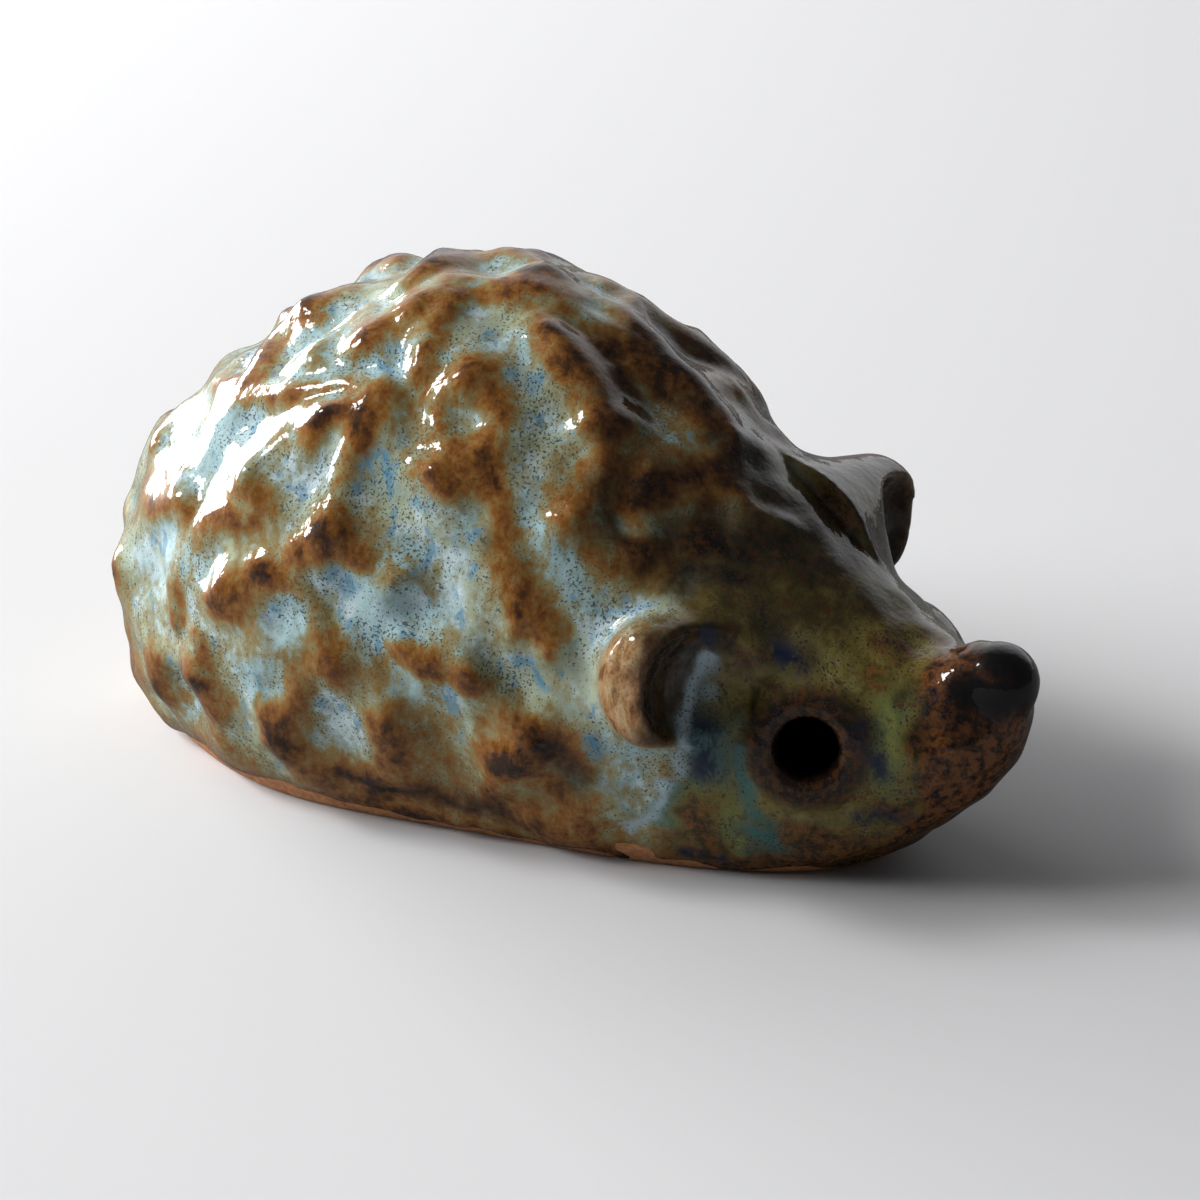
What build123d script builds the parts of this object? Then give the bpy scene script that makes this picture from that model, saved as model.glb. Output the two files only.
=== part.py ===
from build123d import *

import math
import os

# A small hand-built stoneware hedgehog, in millimetres.
# +X points to the nose, +Y to the animal's left, +Z up. The origin is under the
# middle of the body, on the flat foot.

# Body: an egg-shaped clay form that tapers into the snout
body_length = 61.2
body_half_width = 16.9
back_height = 31.3
flank_height = 10.0
belly_radius = 16.9
wall = 4.5
cavity_nose_margin = 9.0

# Sections along the body, as shares of the sizes above
station_shares = (0.004, 0.04, 0.14, 0.28, 0.42, 0.55, 0.66, 0.76, 0.85, 0.92, 0.97, 0.993)
width_shares = (0.19, 0.61, 0.87, 1.0, 0.93, 0.83, 0.728, 0.585, 0.43, 0.31, 0.20, 0.105)
top_shares = (0.445, 0.62, 0.80, 0.96, 1.0, 0.926, 0.78, 0.638, 0.515, 0.45, 0.425, 0.405)
flank_shares = (1.15, 1.14, 1.04, 1.0, 1.0, 1.0, 0.955, 0.893, 0.856, 0.88, 1.0, 1.12)
belly_shares = (0.27, 0.86, 0.955, 1.0, 0.96, 0.895, 0.81, 0.68, 0.495, 0.305, 0.19, 0.105)
rump_height_share = 1.15
snout_height_share = 1.18
cavity_first_station = 2
cavity_last_station = 8

# Slab that closes the underside, with a wiped and rounded foot edge
slab_thickness = 2.6
foot_round = 0.7

# Eyes: holes pushed through the wall, each with a raised round lip
eye_place_shares = (0.837, 0.0)
eye_hole_radius = 1.85
eye_hole_depth = 8.5
eye_lip_radius = 1.25
eye_lip_proud = 0.3
eye_lip_overlap_share = 0.4

# Nose: a bead of clay pressed on the upper end of the snout
nose_radius = 2.35
nose_place_shares = (0.972, 0.431)

# Ears: thick lobes pinched out of the head by hand, not quite alike, each hollowed at the
# front by a thumb. A pair of shares is a place out from the middle, as a share of the half
# width, and up, as a share of the height. A pair of halves is at the root and at the rim
ear_place_share = 0.71
right_ear_root_shares = (0.42, 0.43)
right_ear_rim_shares = (0.85, 0.447)
right_ear_scoop_shares = (0.716, 0.45)
right_ear_half_heights = (4.3, 3.7)
left_ear_root_shares = (0.38, 0.52)
left_ear_rim_shares = (0.87, 0.502)
left_ear_scoop_shares = (0.716, 0.50)
left_ear_half_heights = (5.0, 3.4)
ear_half_depths = (4.6, 2.9)
ear_rim_round = 1.6
ear_scoop_forward = 4.15
ear_scoop_radius = 4.7

# Spines: pinched nubs of clay, set on the coat in a loose scatter
spine_height = 1.25
spine_half_length = 2.75
spine_half_width = 2.4
spine_root = 2.0
spine_lean = 0.7
spine_waist_shares = (0.45, 0.66)
spine_tip_shares = (0.88, 0.32)

# Each spine: place along the body, angle as a share of half a turn from the right flank
# over the back to the left flank, and size
right_spine_shares = (
    (0.085, 0.045, 0.85),
    (0.098, 0.235, 0.85),
    (0.150, -0.095, 0.90),
    (0.178, 0.170, 0.90),
    (0.182, 0.065, 0.80),
    (0.172, 0.320, 0.90),
    (0.236, 0.415, 1.10),
    (0.290, 0.345, 0.70),
    (0.240, -0.025, 0.85),
    (0.267, 0.075, 0.90),
    (0.285, 0.200, 1.10),
    (0.348, 0.290, 1.10),
    (0.380, 0.165, 1.00),
    (0.350, 0.035, 1.10),
    (0.328, -0.080, 0.95),
    (0.464, 0.358, 0.85),
    (0.474, 0.270, 0.80),
    (0.455, 0.150, 0.80),
    (0.476, 0.060, 0.75),
    (0.458, -0.035, 0.95),
    (0.533, 0.225, 0.95),
    (0.542, 0.050, 0.75),
    (0.580, 0.145, 0.95),
    (0.603, -0.035, 0.95),
    (0.606, 0.275, 0.95),
    (0.583, 0.380, 0.95),
    (0.645, 0.355, 0.70),
    (0.505, 0.442, 0.85),
)
crest_spine_shares = (
    (0.130, 0.510, 0.90),
    (0.240, 0.555, 1.00),
    (0.335, 0.510, 0.95),
    (0.380, 0.425, 1.10),
    (0.455, 0.512, 0.95),
    (0.525, 0.550, 0.85),
    (0.578, 0.470, 0.70),
    (0.560, 0.620, 0.95),
    (0.628, 0.585, 0.85),
    (0.672, 0.500, 0.85),
)
left_spine_shares = (
    (0.085, 0.955, 0.85),
    (0.095, 0.750, 0.85),
    (0.150, 1.090, 0.90),
    (0.180, 0.835, 0.90),
    (0.175, 0.670, 0.90),
    (0.245, 0.765, 1.00),
    (0.255, 0.935, 0.90),
    (0.250, 1.045, 0.85),
    (0.320, 0.655, 1.00),
    (0.335, 0.835, 1.05),
    (0.350, 0.990, 1.00),
    (0.402, 0.590, 0.95),
    (0.425, 0.745, 1.00),
    (0.440, 0.890, 1.00),
    (0.525, 0.805, 1.00),
)
spine_groups = {
    "right": right_spine_shares,
    "crest": crest_spine_shares,
    "left": left_spine_shares,
}

# How far a cutting shape runs past what it cuts
overrun = 5.0

rump_x = -body_length / 2


def station_x(share):
    """Place along the body, from the rump at 0 to the end of the snout at 1."""
    return rump_x + share * body_length


def egg_section(index, inset):
    """One section: an upper and a lower half ellipse that meet at the widest line."""
    height = flank_shares[index] * flank_height
    half_width = width_shares[index] * body_half_width - inset
    upper = top_shares[index] * back_height - height - inset
    lower = belly_shares[index] * belly_radius - inset
    plane = Plane(
        origin=(station_x(station_shares[index]), 0, height),
        x_dir=(0, 1, 0),
        z_dir=(1, 0, 0),
    )
    outline = Curve() + [
        EllipticalCenterArc((0, 0), half_width, upper, 0, arc_size=180),
        EllipticalCenterArc((0, 0), half_width, lower, 180, arc_size=180),
    ]
    return make_face(plane * outline)


def make_outer():
    """The whole clay form without its hollow, cut flat at the foot."""
    rump = Vertex(rump_x, 0, rump_height_share * flank_height)
    snout = Vertex(station_x(1), 0, snout_height_share * flank_height)
    sections = [egg_section(index, 0) for index in range(len(station_shares))]
    form = loft([rump, *sections, snout])
    return split(form, bisect_by=Plane.XY, keep=Keep.TOP)


def make_cavity():
    """The hollow inside, one wall in from the outside, above the slab."""
    kept = range(cavity_first_station, cavity_last_station)
    sections = [egg_section(index, wall) for index in kept]
    rump = Vertex(rump_x + wall, 0, flank_height)
    front = Vertex(station_x(1) - cavity_nose_margin, 0, flank_height)
    form = loft([rump, *sections, front])
    return split(form, bisect_by=Plane.XY.offset(slab_thickness), keep=Keep.TOP)


def seat_plane(outer, place_share, angle_share):
    """Plane on the outside of the body, its z axis outward and its x axis up the flank."""
    angle = math.pi * angle_share
    middle = Vector(station_x(place_share), 0, flank_height)
    outward = Vector(0, -math.cos(angle), math.sin(angle))
    hits = outer.find_intersection_points(Axis(middle, outward))
    point, normal = max(hits, key=lambda hit: (hit[0] - middle).dot(outward))
    around = Vector(0, math.sin(angle), math.cos(angle))
    return Plane(origin=point, x_dir=around - normal * around.dot(normal), z_dir=normal)


def make_shell(outer, cavity, eye_planes):
    """Hollow body and head, with a lip and a hole for each eye."""
    shell = split(outer, bisect_by=Plane.XY.offset(slab_thickness), keep=Keep.TOP)
    lip_radius = eye_hole_radius + eye_lip_radius * (1 - eye_lip_overlap_share)
    for plane in eye_planes:
        sunk = plane.offset(eye_lip_proud - eye_lip_radius)
        shell += sunk * Torus(lip_radius, eye_lip_radius)
    shell -= cavity
    for plane in eye_planes:
        drill = Cylinder(eye_hole_radius, eye_hole_depth + overrun)
        shell -= plane.offset((overrun - eye_hole_depth) / 2) * drill
    return shell


def make_slab(outer):
    """Flat slab under the shell, with its lower edge rounded off."""
    slab = split(outer, bisect_by=Plane.XY.offset(slab_thickness), keep=Keep.BOTTOM)
    return fillet(slab.faces().sort_by(Axis.Z)[0].edges(), foot_round)


def ear_point(side, shares):
    """Point at the ears' place along the body, from shares of the half width and the height."""
    out, height = shares
    return Vector(station_x(ear_place_share), side * out * body_half_width, height * back_height)


def ear_scoop(side, scoop_shares):
    """Ball that hollows the front of an ear and grazes the cheek before it."""
    centre = ear_point(side, scoop_shares) + Vector(ear_scoop_forward, 0, 0)
    return Pos(centre) * Sphere(ear_scoop_radius)


def make_ear(head, scoop, side, root_shares, rim_shares, half_heights):
    """A broad blunt lobe that stands out from the head, scooped at the front, cut by the head."""
    root = ear_point(side, root_shares)
    rim = ear_point(side, rim_shares)
    sections = []
    for middle, depth, height in zip((root, rim), ear_half_depths, half_heights):
        level = Plane(origin=middle, x_dir=(1, 0, 0), z_dir=rim - root)
        sections.append(level * Ellipse(depth, height))
    lobe = loft(sections)
    lobe = fillet(lobe.faces().sort_by_distance(rim)[0].edges(), ear_rim_round)
    return lobe - scoop - head


def make_nose(outer):
    """Round bead, cut to seat on the end of the snout."""
    place, height = nose_place_shares
    centre = Pos(station_x(place), 0, height * back_height)
    return centre * Sphere(nose_radius) - outer


def make_spine(outer, place_share, angle_share, size_share):
    """Pinched nub: ellipses that shrink and lean back to a point, cut to seat on the body."""
    plane = seat_plane(outer, place_share, angle_share)
    rearward = plane.to_local_coords(plane.origin - Vector(spine_lean, 0, 0))
    waist_rise, waist_width = spine_waist_shares
    tip_rise, tip_width = spine_tip_shares
    sections = []
    for rise, width in ((0, 1), (waist_rise, waist_width), (tip_rise, tip_width)):
        height = rise * size_share * spine_height
        centre = rearward * rise * rise * size_share
        half_length = width * size_share * spine_half_length
        half_width = width * size_share * spine_half_width
        level = plane.offset(height) * Pos(centre.X, centre.Y)
        sections.append(level * Ellipse(half_length, half_width))
    tip = plane.from_local_coords(
        Vector(rearward.X * size_share, rearward.Y * size_share, spine_height * size_share)
    )
    root = plane.offset(-spine_root) * Ellipse(
        size_share * spine_half_length,
        size_share * spine_half_width,
    )
    nub = loft([*sections, Vertex(tip.X, tip.Y, tip.Z)])
    stem = extrude(root, spine_root, dir=tuple(plane.z_dir))
    return (nub + stem) - outer


def main():
    os.makedirs("parts", exist_ok=True)
    right_scoop = ear_scoop(-1, right_ear_scoop_shares)
    left_scoop = ear_scoop(1, left_ear_scoop_shares)
    outer = make_outer() - [right_scoop, left_scoop]
    eye_place, eye_angle = eye_place_shares
    eye_planes = [
        seat_plane(outer, eye_place, eye_angle),
        seat_plane(outer, eye_place, 1 - eye_angle),
    ]
    pieces = {
        "body_shell": make_shell(outer, make_cavity(), eye_planes),
        "base_slab": make_slab(outer),
        "ear_right": make_ear(
            outer, right_scoop, -1, right_ear_root_shares, right_ear_rim_shares, right_ear_half_heights
        ),
        "ear_left": make_ear(
            outer, left_scoop, 1, left_ear_root_shares, left_ear_rim_shares, left_ear_half_heights
        ),
        "nose_bead": make_nose(outer),
    }
    for group, places in spine_groups.items():
        for number, place in enumerate(places, 1):
            pieces[f"spine_{group}_{number:02d}"] = make_spine(outer, *place)
    for name, piece in pieces.items():
        export_step(piece, f"parts/{name}.step")


main()
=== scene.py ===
import bpy
import numpy as np
from mathutils import Matrix, Vector


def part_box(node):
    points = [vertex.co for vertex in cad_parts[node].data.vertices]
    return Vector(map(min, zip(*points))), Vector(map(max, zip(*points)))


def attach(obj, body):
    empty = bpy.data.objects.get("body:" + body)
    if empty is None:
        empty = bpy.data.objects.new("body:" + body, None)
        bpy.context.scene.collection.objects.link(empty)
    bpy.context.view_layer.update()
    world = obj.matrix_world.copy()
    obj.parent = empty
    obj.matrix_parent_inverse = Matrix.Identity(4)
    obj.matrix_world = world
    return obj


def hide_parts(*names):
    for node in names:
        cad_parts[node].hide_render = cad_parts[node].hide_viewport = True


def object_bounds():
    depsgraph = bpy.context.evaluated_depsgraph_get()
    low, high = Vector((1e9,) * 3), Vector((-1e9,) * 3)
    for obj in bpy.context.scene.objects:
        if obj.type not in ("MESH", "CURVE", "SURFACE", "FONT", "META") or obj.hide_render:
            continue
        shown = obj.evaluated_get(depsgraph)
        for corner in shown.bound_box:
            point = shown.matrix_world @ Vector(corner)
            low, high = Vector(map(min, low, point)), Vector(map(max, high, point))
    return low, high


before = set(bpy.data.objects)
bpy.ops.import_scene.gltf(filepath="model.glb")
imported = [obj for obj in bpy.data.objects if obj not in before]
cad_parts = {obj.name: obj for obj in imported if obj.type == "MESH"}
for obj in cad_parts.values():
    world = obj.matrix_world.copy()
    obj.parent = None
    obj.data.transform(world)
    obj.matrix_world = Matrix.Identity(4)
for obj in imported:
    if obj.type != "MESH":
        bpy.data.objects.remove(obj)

cad_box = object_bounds()

MM = 0.001

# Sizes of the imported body, in millimetres
shell_low, shell_high = (np.array(corner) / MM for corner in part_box("body_shell"))
body_length = shell_high[0] - shell_low[0]
body_half_width = (shell_high[1] - shell_low[1]) / 2
back_height = shell_high[2]

# The egg-shaped body: sections along its length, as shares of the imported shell's sizes and of
# the two lengths below
STATION_SHARES = (0.0, 0.004, 0.04, 0.14, 0.28, 0.42, 0.55, 0.66, 0.76, 0.85, 0.92, 0.97, 0.993, 1.0)
WIDTH_SHARES = (0.0, 0.19, 0.61, 0.87, 1.0, 0.93, 0.83, 0.728, 0.585, 0.43, 0.31, 0.20, 0.105, 0.0)
TOP_SHARES = (0.37, 0.445, 0.62, 0.80, 0.96, 1.0, 0.926, 0.78, 0.638, 0.515, 0.45, 0.425, 0.405, 0.377)
FLANK_SHARES = (1.15, 1.15, 1.14, 1.04, 1.0, 1.0, 1.0, 0.955, 0.893, 0.856, 0.88, 1.0, 1.12, 1.18)
BELLY_SHARES = (0.0, 0.27, 0.86, 0.955, 1.0, 0.96, 0.895, 0.81, 0.68, 0.495, 0.305, 0.19, 0.105, 0.0)
FLANK_HEIGHT = 10.0
BELLY_RADIUS = 16.9

# Least values that the body's form is divided by
LEAST_SQUARE = 0.05
LEAST_SLOPE = 1e-3

# Spines, in millimetres: size, how uneven the foot is, and how the point falls off
SPINE_HEIGHT = 1.25
SPINE_SHOWING_SHARE = 0.85
SPINE_HALF_LENGTH = 2.75
SPINE_HALF_WIDTH = 2.4
SPINE_REACH_SHARE = 2.2
SPINE_FOOT_SHARES = (0.22, 0.14)
SPINE_FALL_SHARE = 0.85
SPINE_FALL_POWER = 1.7

# Eyes and ears, in millimetres
EYE_PLACE_SHARE = 0.837
EYE_HEIGHT = 10.0
EYE_HOLE_RADIUS = 1.8
EYE_HOLE_DEPTH = 6.5
EYE_LIP_RADIUS = 1.25
EYE_LIP_PROUD = 0.5
EYE_LIP_OUT_SHARE = 0.6
EYE_LIP_BLEND = 1.0
EYE_HOLE_ROUNDING = 0.7
EYE_WALK_STEP = 0.05
EAR_PLACE_SHARE = 0.71
EAR_ROOT_SHARES = {-1: (0.42, 0.43), 1: (0.38, 0.52)}
EAR_TIP_SHARES = {-1: (0.85, 0.447), 1: (0.87, 0.502)}
EAR_DEPTHS = (4.6, 2.9)
EAR_HEIGHTS = {-1: (4.3, 3.7), 1: (5.0, 3.4)}
EAR_SCOOP_SHARES = {-1: (0.716, 0.45), 1: (0.65, 0.50)}
EAR_SCOOP_FORWARD = 5.1
EAR_SCOOP_RADIUS = 4.7
EAR_REACH = 14
EAR_START_SHARE = -0.4
EAR_END_ROUNDING = 2.2
EAR_CHEEK_ROUNDING = 1.0
EAR_RIM_ROUNDING = 0.35
EAR_BLEND = 1.5

# Glaze coat over the clay, in millimetres, and the grid that it is worked out on. Each wave of
# its edge has a height, and how fast it runs along and across the body.
GRID_STEP = 0.3
GRID_MARGIN = 2.4
GLAZE_THICKNESS = 0.1
GLAZE_EDGE_HEIGHT = 0.8
GLAZE_EDGE_FALL = 0.4
GLAZE_EDGE_FALL_SPAN = (-6.0, 8.0)
GLAZE_EDGE_WAVES = ((0.25, 0.9, 0.4), (0.15, -0.6, 1.7))
GLAZE_EDGE_ROUNDING = 0.5
COAT_END_SHARE = 0.68
COAT_FADE_SHARES = (-0.08, 0.04)
COAT_WAVE_HEIGHT = 0.22
FINE_WAVE_HEIGHT = 0.05
NOSE_BLEND = 0.7
NOSE_BLEND_BEHIND = 2.6
NOSE_BLEND_SPAN = (-0.3, 2.2)

# Camera that took the view: angles in degrees, lengths in millimetres and pixels
IMAGE_PIXELS = 1200
VIEW_AZIMUTH = 34.17
VIEW_ELEVATION = 24.05
VIEW_DISTANCE = 260.4
VIEW_FOCAL_PIXELS = 4252.0
VIEW_TARGET = (0.4, 0.0, 12.4)
VIEW_SHIFT = (0.53, -0.80)
SENSOR_WIDTH = 36.0

# The camera's near limit, in metres, and the walk along its rays, in millimetres
CLIP_START = 0.01
RAY_REACH = 50
RAY_STEP = 0.1
FAR_OUTSIDE = 9.0

# Light, in metres and watts: a window low on the left, a soft fill and a small lamp for glints
LAMP_TARGET = (0.0, 0.0, 0.012)
WINDOW_PLACE = (-0.556, 0.058, 0.125)
WINDOW_SIZES = (0.38, 0.23)
WINDOW_POWER = 4.8
FILL_PLACE = (-1.05, -0.66, 0.75)
FILL_SIZES = (0.9, 0.9)
FILL_POWER = 28.5
GLINT_PLACE = (-0.70, -0.32, 0.64)
GLINT_SIZES = (0.2, 0.2)
GLINT_POWER = 2.5

# Surroundings: the way to their brightest part, their strengths, and the floor
SKY_BRIGHT_WAY = (-0.45, 0.88, 0.12)
SKY_SPAN = (0.5, 0.98)
SKY_LEAST = 0.05
SKY_MOST = 0.8
SKY_SEEN = 0.84
SKY_COLOUR = (0.97, 0.98, 1.0, 1.0)
FLOOR_REACH = 3.0
FLOOR_COLOUR = (0.64, 0.64, 0.65)
FLOOR_IN_GLOSS_COLOUR = (0.12, 0.12, 0.12)

# Lines drawn on the near side, as picture points, each with its half width in
# millimetres. The far side repeats them, but for the steps on the brow and the far ear's marks.
# First come the spacing of the points that a line is walked with, how sharply its paint ends,
# and how far that edge is pushed about.
STROKE_PIXELS = 6.0
PAINT_EDGE = 2.5
PAINT_REACH_SHARE = 2.5
PAINT_PUSH = 0.32
PAINT_FINE_PUSH_SHARE = 0.5

# Pinched ridges between the spines, and the low steps on the brow
BROW_STEP_HEIGHT = 0.5
RIDGE_HEIGHT = 1.55
RIDGE_REACH_SHARE = 3
RIDGE_FALL_SHARE = 0.85
RIDGE_FALL_POWER = 1.3
RIDGES = (
    (0.9, ((250, 388), (272, 348), (300, 320), (322, 314))),
    (0.8, ((246, 402), (280, 398), (320, 390), (350, 385), (383, 393))),
    (1.0, ((385, 394), (368, 408), (362, 430), (352, 455), (350, 478))),
    (0.9, ((425, 304), (400, 320), (375, 342), (362, 352))),
    (1.1, ((457, 305), (436, 325), (428, 345), (423, 370))),
    (1.0, ((214, 521), (252, 512), (275, 492))),
    (1.0, ((305, 556), (336, 548), (366, 556))),
    (1.1, ((305, 552), (303, 580), (315, 605), (325, 640), (333, 660), (303, 672), (298, 700), (284, 732))),
    (0.8, ((262, 567), (287, 578), (303, 600))),
    (0.9, ((204, 642), (211, 671), (219, 703))),
    (0.7, ((175, 585), (178, 620))),
    (0.8, ((402, 645), (442, 660))),
    (1.3, ((540, 330), (556, 352), (576, 386), (592, 412), (604, 440), (602, 468), (592, 498))),
    (1.2, ((470, 380), (441, 400), (440, 425), (455, 460), (480, 480), (502, 510), (512, 550), (516, 590))),
    (1.1, ((500, 565), (528, 595), (540, 620), (550, 648))),
    (1.0, ((452, 289), (478, 287), (500, 292))),
    (1.2, ((540, 280), (562, 280), (572, 305))),
    (0.9, ((473, 680), (500, 697), (540, 745))),
    (0.9, ((405, 292), (430, 276), (456, 266))),
    (1.2, ((590, 300), (640, 340), (685, 395), (705, 430))),
)
BROW_STEPS = (
    (0.8, ((703, 440), (720, 480), (748, 510), (790, 528))),
    (0.8, ((760, 415), (775, 435), (795, 455))),
)

# Glaze tones on the coat: thick and pale, greyish, tan, rust, brown, and almost black, which is partly
# painted shade
PALE_POOLS = (
    (0.6, ((268, 386), (300, 381), (340, 376))),
    (0.8, ((388, 364), (404, 352), (416, 343))),
    (0.7, ((340, 310), (380, 298), (402, 286))),
    (0.7, ((293, 430), (292, 468))),
    (1.5, ((180, 420), (230, 440), (262, 448))),
    (1.2, ((190, 480), (240, 472))),
    (1.7, ((385, 480), (405, 505), (440, 520), (472, 543))),
    (1.2, ((345, 582), (356, 615), (370, 645))),
    (0.9, ((375, 630), (400, 606))),
    (1.4, ((445, 600), (478, 615), (470, 640))),
    (0.9, ((400, 628), (440, 643), (480, 655), (520, 672), (560, 695), (590, 722), (603, 750), (608, 780))),
    (0.8, ((322, 700), (348, 706), (373, 697))),
    (0.7, ((286, 606), (275, 630))),
    (0.8, ((263, 648), (250, 690), (252, 735))),
    (0.9, ((140, 550), (158, 565))),
    (0.9, ((140, 610), (142, 655))),
    (0.6, ((185, 640), (187, 668))),
    (0.8, ((520, 358), (545, 385), (562, 402))),
    (1.1, ((530, 432), (545, 422), (562, 430))),
    (0.9, ((525, 470), (530, 500), (540, 535), (562, 566), (590, 596))),
    (0.7, (
        (680, 597), (640, 605), (607, 622), (583, 648), (580, 672),
        (590, 700), (607, 735), (625, 765), (640, 790),
    )),
    (1.0, ((615, 770), (632, 800))),
    (0.8, ((398, 684), (442, 688))),
    (0.6, ((465, 700), (475, 738))),
    (0.6, ((480, 278), (512, 276))),
)
GREY_POOLS = (
    (1.2, ((290, 365), (330, 350), (370, 362))),
    (1.2, ((225, 547), (275, 540))),
    (0.9, ((462, 326), (500, 336), (540, 340))),
    (1.2, ((630, 415), (682, 410))),
    (0.8, ((632, 452), (656, 460))),
    (0.9, ((640, 530), (672, 532))),
    (1.0, ((390, 560), (430, 575))),
    (0.9, ((600, 590), (650, 580))),
    (0.9, ((560, 290), (610, 330))),
)
TAN_FIELDS = (
    (1.1, ((604, 655), (612, 700), (628, 738))),
    (0.8, ((640, 632), (676, 618), (716, 624))),
    (1.0, ((400, 420), (385, 448))),
    (1.0, ((475, 505), (492, 545))),
    (0.9, ((555, 480), (572, 505))),
    (1.0, ((335, 520), (372, 530))),
    (0.9, ((455, 720), (466, 770), (505, 787))),
    (0.7, ((605, 825), (640, 840))),
    (0.8, ((492, 358), (508, 348))),
    (1.0, ((385, 660), (372, 680))),
    (0.9, ((215, 740), (235, 760))),
)
RUST_FIELDS = (
    (1.1, ((410, 395), (440, 388), (466, 380))),
    (1.3, ((420, 425), (440, 442), (455, 462))),
    (0.9, ((545, 335), (560, 357), (578, 395), (592, 440), (590, 475))),
    (1.2, ((590, 520), (612, 552))),
    (0.9, ((480, 683), (503, 696))),
    (1.3, ((408, 728), (442, 735))),
    (0.7, ((303, 580), (318, 612), (330, 655))),
    (0.8, ((445, 765), (462, 772))),
    (0.8, ((300, 690), (292, 722))),
    (0.8, ((520, 300), (545, 292))),
    (0.8, ((395, 320), (415, 312))),
    (0.7, ((535, 763), (547, 770))),
)
BROWN_CRESTS = (
    (0.6, ((250, 388), (272, 348), (300, 320), (322, 314))),
    (0.5, ((246, 402), (280, 398), (320, 390), (350, 386))),
    (0.8, ((385, 394), (368, 408), (362, 430), (352, 455), (350, 478))),
    (0.7, ((425, 304), (400, 320), (375, 342))),
    (0.8, ((430, 345), (424, 370))),
    (0.8, ((214, 521), (252, 514), (275, 495))),
    (0.7, ((305, 556), (336, 550), (366, 558))),
    (0.6, ((262, 567), (287, 578), (303, 600))),
    (0.7, ((204, 645), (211, 671), (219, 703))),
    (0.9, ((218, 604), (240, 610))),
    (0.6, ((175, 585), (178, 620))),
    (0.8, ((155, 672), (172, 695))),
    (0.8, ((402, 645), (442, 658))),
    (0.8, ((325, 650), (303, 672))),
    (0.9, ((480, 405), (498, 415))),
    (1.0, ((485, 485), (503, 515), (512, 550), (520, 590))),
    (0.9, ((405, 292), (430, 276), (456, 266))),
    (1.2, ((575, 345), (600, 380), (606, 440))),
    (1.6, ((600, 490), (640, 500))),
    (1.2, ((620, 555), (650, 570))),
    (1.3, ((300, 765), (400, 780), (520, 805), (620, 832))),
)
# Almost black: dark glaze, and painted shade on the shaded right sides of some ridges and nubs
DARK_AND_SHADE_FIELDS = (
    (0.8, ((438, 306), (452, 326))),
    (0.9, ((466, 289), (495, 293))),
    (0.9, ((555, 284), (570, 300))),
    (1.3, ((600, 345), (622, 390), (616, 435))),
    (1.7, ((635, 335), (665, 375), (695, 410))),
    (1.5, ((640, 485), (695, 480))),
    (1.2, ((660, 560), (690, 530))),
    (0.8, ((476, 445), (494, 472))),
    (0.9, ((525, 603), (545, 632))),
    (1.4, ((500, 735), (545, 735), (575, 762))),
    (1.0, ((515, 765), (590, 800))),
    (0.8, ((290, 748), (280, 738))),
    (1.0, ((350, 778), (385, 790))),
    (0.6, ((368, 412), (362, 445))),
)
BLUE_STREAKS = (
    (0.8, ((375, 462), (390, 485), (425, 500))),
    (0.6, ((456, 540), (483, 538))),
    (0.6, ((338, 578), (352, 590))),
    (0.6, ((325, 700), (345, 708))),
    (0.5, ((283, 605), (275, 620))),
    (0.5, ((530, 672), (560, 700), (592, 740), (605, 775))),
    (0.5, ((655, 600), (614, 617), (592, 635))),
    (0.6, ((515, 380), (535, 390))),
    (0.6, ((395, 345), (412, 355))),
    (0.5, ((480, 338), (510, 338))),
)

# How thick the glaze lies in each of those tones, from bare clay to a full pool, and how
# sharply the tone ends. The thinnest, almost black, also serves as painted shade.
TONES = (
    (0.90, 1.7, PALE_POOLS),
    (0.66, 1.7, GREY_POOLS),
    (0.50, 1.7, TAN_FIELDS),
    (0.39, 2.4, RUST_FIELDS),
    (0.24, 2.4, BROWN_CRESTS),
    (0.11, 2.4, DARK_AND_SHADE_FIELDS),
)

# How thick it lies of itself: less on what is raised, on bulges and near the foot
PLAIN_WEIGHT = 0.45
PLAIN_THICKNESS = 0.66
RAISED_LOSS = 0.46
RAISED_SPAN = (0.2, 1.2)
BULGE_LOSS = 0.7
BULGE_SPAN = (-0.25, 0.4)
BULGE_DEPTH = 2.5
BULGE_BLUR_STEPS = 4
THICKNESS_WAVE = 0.10
FOOT_LOSS = 0.25
FOOT_SPAN = (1.0, 4.5)

# Marks on the head and snout
BROW_FIELDS = (
    (2.6, ((700, 530), (760, 545), (815, 560))),
    (1.8, ((690, 575), (760, 580))),
    (2.4, ((730, 450), (790, 500), (840, 560))),
)
# Dark glaze on the shoulder and low flank, deepened as painted shade where the flank turns away from the
# light
SHOULDER_DARK_AND_SHADE = (
    (1.4, ((600, 345), (622, 392), (616, 432))),
    (1.3, ((640, 335), (668, 375), (695, 410))),
    (1.5, ((640, 490), (700, 470))),
    (1.2, ((540, 740), (580, 775))),
    (1.0, ((350, 780), (420, 792), (500, 806))),
    (1.5, ((645, 560), (680, 530), (710, 520))),
    (1.2, ((606, 490), (612, 530), (640, 565))),
)
# Painted shade on the far ear's front, which faces away from the light; painted on that side only
FAR_EAR_SHADE = (
    (1.5, ((815, 475), (850, 470), (888, 466))),
    (1.5, ((825, 500), (850, 515), (872, 535))),
    (1.2, ((885, 490), (882, 530))),
)
# Painted shade in the ears' hollows, which face away from the light
EAR_HOLLOW_SHADE = (
    (1.5, ((652, 650), (662, 690), (660, 735))),
    (1.2, ((660, 630), (700, 628), (728, 645))),
    (0.9, ((676, 660), (680, 690))),
)
FOREHEAD_CLOUDS = (
    (1.6, ((760, 600), (830, 605), (880, 600))),
    (1.3, ((725, 600), (770, 618), (830, 622))),
    (0.9, ((835, 560), (870, 590), (900, 612))),
    (0.8, ((760, 690), (800, 700))),
)
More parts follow.
